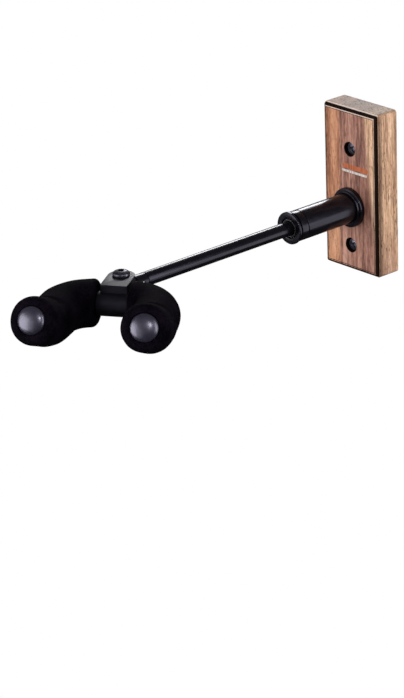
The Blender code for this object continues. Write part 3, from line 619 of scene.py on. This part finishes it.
def build_plate():
    """The plate, with its border darkened, painted shade in its scored line and wells, and a painted
    highlight on its upper edges.
    """
    oiled = wood_material("walnut_oiled"), "walnut"
    plate = piece(plate_mesh(), oiled, "wall_mount", "wall_plate")
    plate.data.materials.append(wood_material("walnut_dark_border_and_shade", "stained_and_shaded"))
    plate.data.materials.append(wood_material("walnut_painted_highlight", "wear_and_highlight"))
    border_back = PLATE_FRONT - PANEL_STEP - BORDER_RADIUS
    stained_and_shaded, wear_and_highlight = 1, 2
    tiny = 0.02 * MM
    for face in plate.data.polygons:
        x, y, z = face.center
        inset = min(PLATE_HIGH.x - abs(x), PLATE_HIGH.z - abs(z))
        depth = -y
        on_top = z > 0 and PLATE_HIGH.z - z < PLATE_HIGH.x - abs(x) + tiny
        if ARRIS - tiny < inset < PANEL_INSET + tiny and depth > border_back - tiny:
            face.material_index = stained_and_shaded
        # painted shade: the scored line gets the near-black finish
        elif LINE_START < inset < LINE_START + LINE_WIDTH and depth > PLATE_FRONT - LINE_DEPTH:
            face.material_index = stained_and_shaded
        # painted shade: the screw wells get the near-black finish
        elif depth > PLATE_FRONT - COUNTERBORE_DEPTH - tiny and any(
                hypot(x, z - (low.z + high.z) / 2) < COUNTERBORE_RADIUS + 0.4 * MM
                for low, high in SCREWS.values()):
            face.material_index = stained_and_shaded
        # painted highlight: the top arris and the top edge of the panel get the pale finish
        elif on_top and inset < ARRIS and depth > border_back - ARRIS - tiny:
            face.material_index = wear_and_highlight
        elif on_top and PANEL_INSET < inset < LINE_START:
            face.material_index = wear_and_highlight


def build_print():
    """Two plain bars where the plate carries a maker's print."""
    thickness = 0.03 * MM
    # half width, half height, middle x and z, and the ink's colour
    bars = (("print_bar_upper", 11.5 * MM, 1.6 * MM, 5.0 * MM, 16.0 * MM, (0.52, 0.13, 0.042)),
            ("print_bar_lower", 11.5 * MM, 0.8 * MM, 4.0 * MM, 12.7 * MM, (0.74, 0.68, 0.63)))
    for name, half_width, half_height, x, z, colour in bars:
        outline = rounded_rectangle(half_width, half_height, half_height * 0.98, 6)
        place = Matrix.Translation((x, 0, z)) @ Matrix.Rotation(radians(90), 4, "X")
        mesh = prism(name, outline, PLATE_FRONT - thickness, PLATE_FRONT + thickness, place)
        piece(mesh, (print_material(name + "_ink", colour), "walnut"), "wall_mount")


def cross_recess(name, top, matrix, half_length, half_width, depth):
    """Cutters for a cross recess: two tapered wedges that cross at its middle."""
    tools = []
    for k in range(2):
        rings = []
        for along, share in ((top + 0.5 * MM, 1.12), (top, 1.0), (top - depth, 0.45)):
            x, y = half_length * share, half_width * (0.35 + 0.65 * share)
            rings.append([(x, y, along), (-x, y, along), (-x, -y, along), (x, -y, along)])
        turn = matrix @ Matrix.Rotation(radians(45 + 90 * k), 4, "Z")
        tools.append(cut(skinned(name, rings, "filled", turn)))
    return tools


def build_wall_screws(steel):
    """Wood screws with a slightly domed head, a plain neck and a pointed thread."""
    shank = 2.2 * MM
    plain_length = 14 * MM
    pitch = 1.9 * MM
    for label, (low, high) in SCREWS.items():
        place = arm_matrix((low.z + high.z) / 2)
        top, tip = -low.y, -high.y
        head_radius = (high.x - low.x) / 2
        plain_end = top - plain_length
        outline = filleted([
            (0.0, top), (head_radius * 0.5, top - 0.08 * MM, 0.2 * MM),
            (head_radius, top - 0.45 * MM, 0.25 * MM), (head_radius, top - 0.9 * MM, 0.2 * MM),
            (shank, top - 2.9 * MM, 0.3 * MM), (shank, plain_end, 0.2 * MM),
            (shank * 0.72, plain_end - 0.8 * MM), (0.0, plain_end - 0.8 * MM)])
        name = f"screw_{label}"
        recess = cross_recess("cut_recess", top, place, 2.75 * MM, 0.62 * MM, 1.9 * MM)
        head = carved(name, turned(name, outline, place, SMALL_STEPS), recess)
        item = piece(head, steel, "wall_mount", f"wall_screw_{label}")
        thread = threaded(
            name + "_thread", shank, shank * 0.66, pitch, tip, plain_end - 0.5 * MM, place, tip=7 * MM)
        thread_piece(item, thread, steel, "wall_mount")


# ---- stud, nut and washer at the back

def build_plate_fixings(steel):
    """The washer, nut and threaded stud that hold the sleeve to the plate."""
    radius, back, front = turned_size("plate_washer")
    hole = 4.3 * MM
    outline = filleted([
        (hole, front, 0.15 * MM), (radius, front, 0.3 * MM), (radius, back, 0.3 * MM),
        (hole, back, 0.15 * MM)], steps=3)
    piece(turned("washer_ring", outline, ARM), steel, "wall_mount", "plate_washer")

    low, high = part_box("plate_nut")
    back, front = -high.y, -low.y
    across_flats = min(high.x - low.x, high.z - low.z)
    nut = hex_nut_mesh("hex_nut", across_flats, hole, back, front, ARM)
    piece(nut, steel, "wall_mount", "plate_nut")

    plug_radius, plug_back, plug_front = turned_size("sleeve_plug")
    shoulder = PLATE_FRONT + GAP
    stud = 4.0 * MM
    plain_end, core_end = 14 * MM, 13.4 * MM
    outline = filleted([
        (0.0, plug_front), (plug_radius, plug_front, 0.3 * MM), (plug_radius, shoulder, 0.2 * MM),
        (stud, shoulder), (stud, plain_end, 0.2 * MM), (stud * 0.84, core_end), (0.0, core_end)])
    plug = piece(turned("stud_plug", outline, ARM, SMALL_STEPS), steel, "wall_mount", "sleeve_plug")
    pitch = 1.25 * MM
    overlap = 0.2 * MM
    thread = threaded(
        "stud_thread", stud, stud * 0.85, pitch, plug_back, core_end + overlap, ARM, steps=48)
    thread_piece(plug, thread, steel, "wall_mount")


def hex_nut_mesh(name, across_flats, bore, low, high, matrix):
    """Hexagon nut whose corners are turned off to a cone on both faces."""
    corner = across_flats / sqrt(3)
    block = prism(name, polygon(6, corner, radians(30)), low, high, matrix)
    edge = 0.96 * across_flats / 2
    beyond = corner + 1 * MM
    lean = (beyond - edge) * tan(radians(30))
    outline = [
        (0.0, high), (edge, high), (beyond, high - lean), (beyond, low + lean), (edge, low), (0.0, low)]
    cone = turned(name, outline, matrix, SMALL_STEPS)
    ease = 0.5 * MM
    past = 1 * MM
    hole = [(0.0, high + past), (bore + ease + past, high + past), (bore, high - ease), (bore, low + ease),
            (bore + ease + past, low - past), (0.0, low - past)]
    drill = turned(name, hole, matrix, SMALL_STEPS)
    return carved(name, block, [("INTERSECT", cone), cut(drill)])


# ---- flange, sleeve and clutch

def build_sleeve(black):
    """The stepped flange ring against the plate and the plain tube that runs through it."""
    radius, back, front = turned_size("flange_ring")
    hole = 10.3 * MM
    step_radius = 11.6 * MM
    step = front - 1.4 * MM
    taper, bevel = 0.22 * MM, 0.9 * MM  # both rims narrow a little towards the front
    outline = filleted([
        (hole, front, 0.1 * MM), (step_radius - taper, front, 0.35 * MM),
        (step_radius, front - bevel, 0.05 * MM), (step_radius, step, 0.1 * MM),
        (radius - taper, step, 0.35 * MM), (radius, step - bevel, 0.05 * MM),
        (radius, back, 0.15 * MM), (hole, back)], steps=8)
    piece(turned("flange", outline, ARM), black, "wall_mount", "flange_ring")

    radius, back, front = turned_size("sleeve_tube")
    bore = 7.5 * MM
    outline = filleted([
        (bore, front, 0.1 * MM), (radius, front, 0.3 * MM), (radius, back), (bore, back)])
    piece(turned("sleeve", outline, ARM), black, "wall_mount", "sleeve_tube")


def build_clutch(black, nylon):
    """The collar, grooved behind its lip, and the slotted collet that it presses onto the rod."""
    lip_radius, back, front = turned_size("clutch_collar")
    sleeve_radius = turned_size("sleeve_tube")[0]
    nose_radius, _, nose_front = turned_size("clutch_nose")
    mouth = 6.7 * MM
    groove_radius = 9.0 * MM
    groove_start = front - 3.3 * MM
    groove_end = front - 1.7 * MM
    bore = nose_radius + GAP
    shoulder = nose_front + GAP
    outline = filleted([
        (mouth, shoulder), (bore, shoulder), (bore, back), (sleeve_radius, back, 0.25 * MM),
        (sleeve_radius, groove_start, 0.15 * MM), (groove_radius, groove_start),
        (groove_radius, groove_end), (lip_radius, groove_end, 0.3 * MM), (lip_radius, front, 0.5 * MM),
        (mouth, front, 0.3 * MM)])
    piece(turned("collar", outline, ARM), black, "collar", "clutch_collar")

    radius, back, front = turned_size("clutch_collet")
    rod_radius = turned_size("slide_rod")[0]
    hole = rod_radius + GAP
    face = turned_size("clutch_collar")[2] - 0.15 * MM
    small_end = 5.45 * MM
    outline = filleted([
        (hole, face, 0.5 * MM), (radius, face, 0.3 * MM), (radius, nose_front), (small_end, back),
        (hole, back)])
    collet = turned("collet", outline, ARM)
    half = 0.22 * MM
    inside, outside = 2 * MM, 9 * MM
    slot = [(inside, -half), (outside, -half), (outside, half), (inside, half)]
    slots = 6
    cuts = []
    for k in range(slots):
        turn = ARM @ Matrix.Rotation(tau * k / slots, 4, "Z")
        cuts.append(cut(prism("cut_slot", slot, back + 2.5 * MM, face + 1 * MM, turn)))
    piece(carved("collet", collet, cuts), nylon, "wall_mount", "clutch_collet")


# ---- rod, tongue and pin

def build_rod(black, steel):
    """The rod, the flattened tongue on its end and the cross pin that holds them together."""
    radius, back, front = turned_size("slide_rod")
    guide_shoulder = 52.3 * MM  # where the rod steps down to carry its guide
    guide_seat = 3.5 * MM
    spigot = 2.7 * MM
    tongue_low, tongue_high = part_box("rod_tongue")
    socket_back = -tongue_high.y
    rod_front = socket_back - GAP
    outline = filleted([
        (0.0, front), (spigot, front, 0.3 * MM), (spigot, rod_front), (radius, rod_front, 0.25 * MM),
        (radius, guide_shoulder, 0.3 * MM), (guide_seat, guide_shoulder), (guide_seat, back, 0.3 * MM),
        (0.0, back)])
    rod = turned("rod", outline, ARM)
    pin_low, pin_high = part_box("tongue_pin")
    pin_middle = (pin_low + pin_high) / 2
    across = Matrix.Translation(pin_middle) @ Matrix.Rotation(pi / 2, 4, "Y")
    reach = radius + 1 * MM
    pin_hole = 1.3 * MM
    drill_outline = [(0.0, reach), (pin_hole, reach), (pin_hole, -reach), (0.0, -reach)]

    def drill():
        return cut(turned("cut_pin_hole", drill_outline, across, 32))

    piece(carved("rod", rod, [drill()]), black, "arm", "slide_rod")

    pivot_distance = -PIVOT.y
    tongue_front = -tongue_low.y
    end_radius = tongue_front - pivot_distance
    thickness = 5.0 * MM
    socket_front = pivot_distance - 9.5 * MM
    socket_radius = spigot + GAP
    outline = filleted([
        (0.0, tongue_front), (radius, tongue_front), (radius, socket_back, 0.25 * MM),
        (socket_radius, socket_back), (socket_radius, front + GAP), (0.0, front + GAP)])
    tongue = turned("tongue", outline, ARM)
    steps = []
    far = 12 * MM
    # the flats run out into the round part over a small curve
    curve_height, curve_length = 2.0 * MM, 1.2 * MM
    flat = [(thickness / 2, far + pivot_distance), (far, far + pivot_distance),
            (far, socket_front - curve_length)]
    flat += [(thickness / 2 + curve_height * (1 - cos(a)), socket_front - curve_length * sin(a))
             for a in reversed(quarter_turn(6))]
    # local X is the part's Z, and local Y runs along the arm
    turn = Matrix.Translation((0, 0, ARM_Z)) @ Matrix(
        ((0, 0, 1, 0), (0, -1, 0, 0), (1, 0, 0, 0), (0, 0, 0, 1)))
    for side in (1, -1):
        block = [(side * x, t) for x, t in flat]
        steps.append(cut(prism("cut_flat", block, -far, far, turn)))
    upright = Matrix.Translation(PIVOT)
    keep = arc_points(0, 0, end_radius, 180, 360, 48)
    past_tongue = 40 * MM
    keep += [(end_radius, past_tongue), (-end_radius, past_tongue)]
    steps.append(("INTERSECT", prism("trim_tongue", keep, -far, far, upright)))
    eye = [(0.0, far), (PIVOT_HOLE_RADIUS, far), (PIVOT_HOLE_RADIUS, -far), (0.0, -far)]
    steps.append(cut(turned("cut_eye", eye, upright, SMALL_STEPS)))
    steps.append(drill())
    piece(carved("tongue", tongue, steps), black, "arm", "rod_tongue")

    half = (pin_high.x - pin_low.x) / 2
    pin_radius = (pin_high.z - pin_low.z) / 2
    outline = filleted([
        (0.0, half), (pin_radius, half, 0.25 * MM), (pin_radius, -half, 0.25 * MM), (0.0, -half)])
    piece(turned("pin", outline, across, 32), steel, "arm", "tongue_pin")


# ---- yoke

def prong_path(side):
    """Stations (point, direction, bend) from the foam's back to a prong's tip.

    Axes are the yoke's own: X across, -Y ahead, Z up. bend is the direction of a bend's centre, or None.
    """
    ahead = Vector((0, -1, 0))
    up = Vector((0, 0, 1))
    stations = []
    point = Vector((side * BAR_HALF_STRAIGHT, -BAR_FORWARD, -BAR_DROP))
    direction = Vector((side, 0, 0))
    spacing = 0.7 * MM  # about this far apart

    def go_round(towards, radius, angle):
        nonlocal point, direction
        start, heading = point.copy(), direction.copy()
        count = max(2, round(radius * angle / spacing))
        for i in range(count):
            turn = angle * i / count
            here = start + radius * (heading * sin(turn) + towards * (1 - cos(turn)))
            facing = heading * cos(turn) + towards * sin(turn)
            inward = towards * cos(turn) - heading * sin(turn)
            stations.append((here, facing, inward))
        point = start + radius * (heading * sin(angle) + towards * (1 - cos(angle)))
        direction = heading * cos(angle) + towards * sin(angle)

    def go_straight(length):
        nonlocal point
        count = max(2, round(length / spacing))
        for i in range(count):
            stations.append((point + direction * (length * i / count), direction.copy(), None))
        point = point + direction * length

    go_round(ahead, CORNER_BEND_RADIUS, pi / 2 - PRONG_SPLAY)
    go_straight(PRONG_STRAIGHT)
    go_round(up, TIP_BEND_RADIUS, TIP_RISE)
    go_straight(TIP_STRAIGHT)
    stations.append((point.copy(), direction.copy(), None))
    return stations


def ring_at(point, direction, radius, steps=ROUND_STEPS):
    side = direction.cross(Vector((0, 0, 1))).normalized()
    lift = side.cross(direction)
    return [point + radius * (side * cos(a) + lift * sin(a))
            for a in (tau * i / steps for i in range(steps))]


def foam_mesh(name, side):
    """Foam tube with softly rounded ends, faint swells and small folds inside the corner bend."""
    stations = prong_path(side)
    tip, tip_direction = stations[-1][:2]
    first, first_direction = stations[0][:2]
    lengths = [0.0]
    for (a, *_), (b, *_) in zip(stations, stations[1:]):
        lengths.append(lengths[-1] + (b - a).length)
    total = lengths[-1]
    tip_round, back_round = FOAM_TIP_ROUNDING, FOAM_BACK_ROUNDING
    rings = []

    def skin(point, direction, radius, inward, along):
        ring = []
        for p in ring_at(point, direction, radius):
            outward = (p - point).normalized()
            swell = 0.16 * MM * noise.noise(p * 110 + Vector((side * 7, 0, 0)))
            swell += 0.05 * MM * noise.noise(p * 420)
            fold = 0.0
            if inward is not None:
                inner = max(0.0, outward.dot(inward) - 0.25) / 0.75
                fold = 0.28 * MM * inner ** 1.5 * sin(tau * along / (3.4 * MM))
            ring.append(p + outward * (swell - abs(fold)))
        return ring

    for angle in quarter_turn(8):
        along = back_round * (1 - cos(angle))
        radius = FOAM_RADIUS - back_round * (1 - sin(angle))
        rings.append(skin(first + first_direction * along, first_direction, radius, None, along))
    for (point, direction, inward), along in zip(stations, lengths):
        if along > back_round * 1.15 and total - along > tip_round * 1.05:
            rings.append(skin(point, direction, FOAM_RADIUS, inward, along))
    for angle in quarter_turn(12):
        back = tip_round * (1 - sin(angle))
        radius = FOAM_RADIUS - tip_round * (1 - cos(angle))
        rings.append(skin(tip - tip_direction * back, tip_direction, radius, None, total - back))
    # the recess for the cap, the hole for its skirt, then the bore for the bar back to the start
    lip, recess, recess_depth = 0.3 * MM, 9.0 * MM, 1.5 * MM
    skirt_hole, skirt_depth = 6.3 * MM, 10.6 * MM
    bore = BAR_RADIUS + GAP
    for radius, back in ((recess + lip, 0.0), (recess, lip), (recess, recess_depth),
                         (skirt_hole, recess_depth), (skirt_hole, skirt_depth), (bore, skirt_depth)):
        rings.append(ring_at(tip - tip_direction * back, tip_direction, radius))
    for (point, direction, _), along in reversed(list(zip(stations, lengths))[::3]):
        if total - along > skirt_depth + 0.9 * MM:
            rings.append(ring_at(point, direction, bore))
    return skinned(name, rings, "joined", YOKE)


def cap_mesh(name, side):
    """Domed cap whose skirt grips the bar's end inside the foam."""
    tip, tip_direction = prong_path(side)[-1][:2]
    radius = 8.7 * MM
    height = 3.6 * MM
    rim = 0.2 * MM
    sink = 1.2 * MM
    dome = [(radius * sin(a), (height + rim) * cos(a) - rim) for a in quarter_turn(24)]
    dome[0] = (0.0, height)
    skirt, skirt_depth = 6.0 * MM, 10.0 * MM
    socket, socket_top = BAR_RADIUS + GAP, GAP - 2.0 * MM
    outline = dome + [
        (radius, -sink), (skirt, -sink), (skirt, -skirt_depth), (socket, -skirt_depth),
        (socket, socket_top), (0.0, socket_top)]
    turn = tip_direction.to_track_quat("Z", "Y").to_matrix().to_4x4()
    return turned(name, outline, YOKE @ Matrix.Translation(tip) @ turn)


def bar_mesh():
    """The bent bar in one piece, from one cap's socket round to the other's."""
    short_of_tip = 2.2 * MM
    halves = []
    for side in (-1, 1):
        stations = prong_path(side)
        tip = stations[-1][0]
        halves.append([(p, d) for p, d, _ in stations[::2] if (p - tip).length > short_of_tip])
    left = [(p, -d) for p, d in reversed(halves[0])]
    rings = [ring_at(p, d, BAR_RADIUS, 40) for p, d in left + halves[1]]
    return skinned("bent_bar", rings, "filled", YOKE)


def build_knuckle(black, screw_steel, nylon):
    """The forked knuckle, its grub screw, and the pivot's bolt, nut and washers."""
    ear_radius = 8.5 * MM
    ear_outer, ear_inner = 8.1 * MM, 4.1 * MM
    boss_radius, boss_half = 7.6 * MM, 10.0 * MM
    front = -BAR_FORWARD - 1.0 * MM
    outline = arc_points(0, 0, ear_radius, 0, 180, 48) + [(-ear_radius, front), (ear_radius, front)]
    block = prism("knuckle", outline, -ear_outer, ear_outer, YOKE)
    bar_line = YOKE @ Matrix.Translation((0, -BAR_FORWARD, -BAR_DROP)) @ Matrix.Rotation(pi / 2, 4, "Y")

    def rod_cut(radius, low, high, matrix, steps=SMALL_STEPS):
        return turned("cut_round", [(0.0, high), (radius, high), (radius, low), (0.0, low)], matrix, steps)

    side = 12 * MM
    slot = [(-side, side), (-side, -ear_radius), (side, -ear_radius), (side, side)]
    grub_line = YOKE @ Matrix.Translation((0, -BAR_FORWARD, -BAR_DROP))
    grub_radius = 1.9 * MM
    steps = [
        ("UNION", rod_cut(boss_radius, -boss_half, boss_half, bar_line, ROUND_STEPS)),
        cut(prism("cut_fork", slot, -ear_inner, ear_inner, YOKE)),
        cut(rod_cut(PIVOT_HOLE_RADIUS, -side, side, YOKE)),
        cut(rod_cut(BAR_RADIUS + GAP, -side, side, bar_line)),
        cut(rod_cut(grub_radius + GAP, -side, -2 * MM, grub_line, 32)),
    ]
    piece(carved("knuckle", block, steps, bevel=0.35 * MM), black, "yoke", "yoke_knuckle")

    low, high = -boss_radius + 0.3 * MM, -BAR_RADIUS - GAP
    outline = filleted([
        (0.0, high), (grub_radius, high, 0.2 * MM), (grub_radius, low, 0.25 * MM), (0.0, low)])
    grub = turned("grub_screw", outline, grub_line, 40)
    key = prism("cut_key", polygon(6, 1.15 * MM), low - 1 * MM, low + 1.2 * MM, grub_line)
    piece(carved("grub_screw", grub, [cut(key)]), screw_steel, "yoke", "bar_grub_screw")

    seat = ear_outer + GAP
    head_radius, head_height = 5.5 * MM, 3.2 * MM
    nut_height = 5.0 * MM
    shank = 3.0 * MM
    rim = 0.8 * MM
    rise = head_height - rim
    dome = [(head_radius * sin(a), seat + rim + rise * cos(a)) for a in quarter_turn(20)]
    dome[0] = (0.0, seat + head_height)
    thread_top = -seat + 0.5 * MM
    core_end = thread_top - 0.3 * MM
    outline = dome + [
        (head_radius, seat), (shank, seat), (shank, thread_top), (shank * 0.85, core_end), (0.0, core_end)]
    bolt = turned("bolt", outline, YOKE, SMALL_STEPS)
    top = seat + head_height
    key = prism("cut_key", polygon(6, 2.3 * MM), top - 2.0 * MM, top + 1 * MM, YOKE)
    bolt_piece = piece(carved("bolt", bolt, [cut(key)]), screw_steel, "yoke", "pivot_bolt")
    end = -seat - nut_height - 1.2 * MM
    thread = threaded("bolt_thread", shank, shank * 0.84, 1.0 * MM, end, thread_top, YOKE, steps=40)
    thread_piece(bolt_piece, thread, screw_steel, "yoke")
    nut = hex_nut_mesh("pivot_hex_nut", 10.0 * MM, shank + GAP, -seat - nut_height, -seat, YOKE)
    piece(nut, screw_steel, "yoke", "pivot_nut")
    hole, radius, thickness = PIVOT_HOLE_RADIUS, 7.0 * MM, 1 * MM
    inner = 2.5 * MM + GAP
    for label, low, high in (("upper", inner, inner + thickness), ("lower", -inner - thickness, -inner)):
        outline = filleted([
            (hole, high, 0.1 * MM), (radius, high, 0.25 * MM), (radius, low, 0.25 * MM),
            (hole, low, 0.1 * MM)], steps=3)
        washer = turned(f"nylon_washer_{label}", outline, YOKE)
        piece(washer, nylon, "yoke", f"pivot_washer_{label}")


def build_yoke(black, screw_steel, nylon):
    """The knuckle, the bent bar, and the foam and cap on each prong."""
    build_knuckle(black, screw_steel, nylon)
    piece(bar_mesh(), black, "yoke", "yoke_bar")
    foam = foam_material("foam_black"), "black_foam"
    plastic = cap_material("cap_dark_plastic"), "cap_plastic"
    for label, side in (("left", -1), ("right", 1)):
        sleeve = piece(foam_mesh(f"foam_sleeve_{label}", side), foam, "yoke", f"foam_{label}")
        piece(cap_mesh(f"end_cap_{label}", side), plastic, "yoke", f"cap_{label}")


# ---- floor, light and camera

def build_stage():
    """A white seamless sweep: a floor that curves up into a wall all round.

    It is lit evenly, and kept out of the object's reflections, so dark edges stay dark against it.
    """
    depth, reach, bend, height = -0.55, 9.0, 2.0, 9.0
    profile = [(0.0, depth)] + arc_points(reach - bend, depth + bend, bend, -90, 0, 12)
    profile += [(reach, height), (0.0, height)]
    floor = put_in_scene("floor", turned("floor", profile, Matrix.Identity(4)))
    t = Tree("floor_paint", 0.9, specular=0.0)
    t.set(Base_Color=(0.0, 0.0, 0.0, 1.0), Emission_Color=(1.0, 1.0, 1.0, 1.0), Emission_Strength=1.0)
    floor.data.materials.append(t.material)
    floor.visible_diffuse = False
    floor.visible_glossy = False
    floor.visible_shadow = False


def area_light(name, direction, distance, width, height, radiance):
    """A rectangular soft box that faces the object, with its brightness given at its face."""
    middle = Vector((0.02, -0.15, 0.0))  # of the object
    light = bpy.data.lights.new(name, "AREA")
    light.shape = "RECTANGLE"
    light.size = width
    light.size_y = height
    light.energy = radiance * pi * width * height
    item = put_in_scene(name, light)
    item.location = middle + Vector(direction).normalized() * distance
    item.rotation_euler = (middle - item.location).to_track_quat("-Z", "Y").to_euler()
    item.visible_camera = False


def build_world():
    """Dim fill, a little brighter from above than from below."""
    world = bpy.data.worlds.new("studio")
    world.use_nodes = True
    tree = world.node_tree
    background = tree.nodes["Background"]
    place = tree.nodes.new("ShaderNodeTexCoord")
    split = tree.nodes.new("ShaderNodeSeparateXYZ")
    fade = tree.nodes.new("ShaderNodeMapRange")
    fade.interpolation_type = "SMOOTHSTEP"
    for key, number in (("From Min", -0.3), ("From Max", 0.3), ("To Min", 0.03), ("To Max", 0.14)):
        fade.inputs[key].default_value = number
    tree.links.new(place.outputs["Generated"], split.inputs[0])
    tree.links.new(split.outputs[2], fade.inputs["Value"])
    tree.links.new(fade.outputs["Result"], background.inputs["Strength"])
    background.inputs["Color"].default_value = (1.0, 1.0, 1.0, 1.0)
    bpy.context.scene.world = world


def build_lights():
    """Soft boxes, each with its direction, distance, width, height and radiance."""
    area_light("back_strip", (-0.64, 0.613, 0.44), 1.6, 0.45, 0.42, 14.5)
    area_light("front_box", (-0.375, -0.925, 0.06), 1.5, 1.3, 1.3, 3.7)
    area_light("front_fill", (-0.24, -0.97, 0.06), 1.5, 2.25, 1.3, 0.95)
    area_light("right_key", (0.93, 0.27, 0.25), 1.6, 0.85, 1.3, 4.4)
    area_light("right_sheen", (0.70, 0.69, -0.18), 1.7, 1.0, 1.1, 2.0)
    area_light("right_spark", (0.717, -0.444, 0.537), 1.5, 0.11, 0.11, 150.0)


def build_camera():
    """The photograph's viewpoint: a long lens, above and to the right of the hanger."""
    azimuth, elevation, roll = radians(48.5), radians(22.26), radians(-2.05)
    back = Vector((sin(azimuth) * cos(elevation), -cos(azimuth) * cos(elevation),
                   sin(elevation)))
    level = Vector((cos(azimuth), sin(azimuth), 0))
    upward = back.cross(level)
    right = level * cos(roll) + upward * sin(roll)
    top = upward * cos(roll) - level * sin(roll)
    data = bpy.data.cameras.new("camera")
    data.sensor_width = 36.0
    data.lens = 173.77
    data.clip_start = 0.05
    camera = put_in_scene("camera", data)
    turn = Matrix((right, top, back)).transposed()
    camera.matrix_world = Matrix.Translation((1.4771, -1.4589, 0.7358)) @ turn.to_4x4()
    bpy.context.scene.camera = camera


def main():
    """Build every piece, then the stage, lights and camera."""
    black = coated_metal_material("black_coat"), "satin_black"
    screw_steel = screw_material("black_oxide"), "black_screw"
    plated = plated_material("zinc_plate"), "plated_steel"
    nylon = nylon_material("nylon_black"), "black_nylon"
    matt_black = coated_metal_material("matt_black_coat", 0.46, 0.52), "satin_black"
    build_plate()
    build_print()
    build_wall_screws(screw_steel)
    build_plate_fixings(plated)
    build_sleeve(black)
    build_clutch(black, nylon)
    build_rod(black, plated)
    build_yoke(matt_black, screw_steel, nylon)
    # these three keep the shape of their CAD nodes
    for node, (material, _) in (("clutch_nose", plated), ("guide_clip", plated), ("rod_guide", nylon)):
        for slot in frame["nodes"][node].material_slots:
            slot.material = material
    build_stage()
    build_world()
    build_lights()
    build_camera()
    bpy.context.scene.view_settings.view_transform = "Standard"


main()
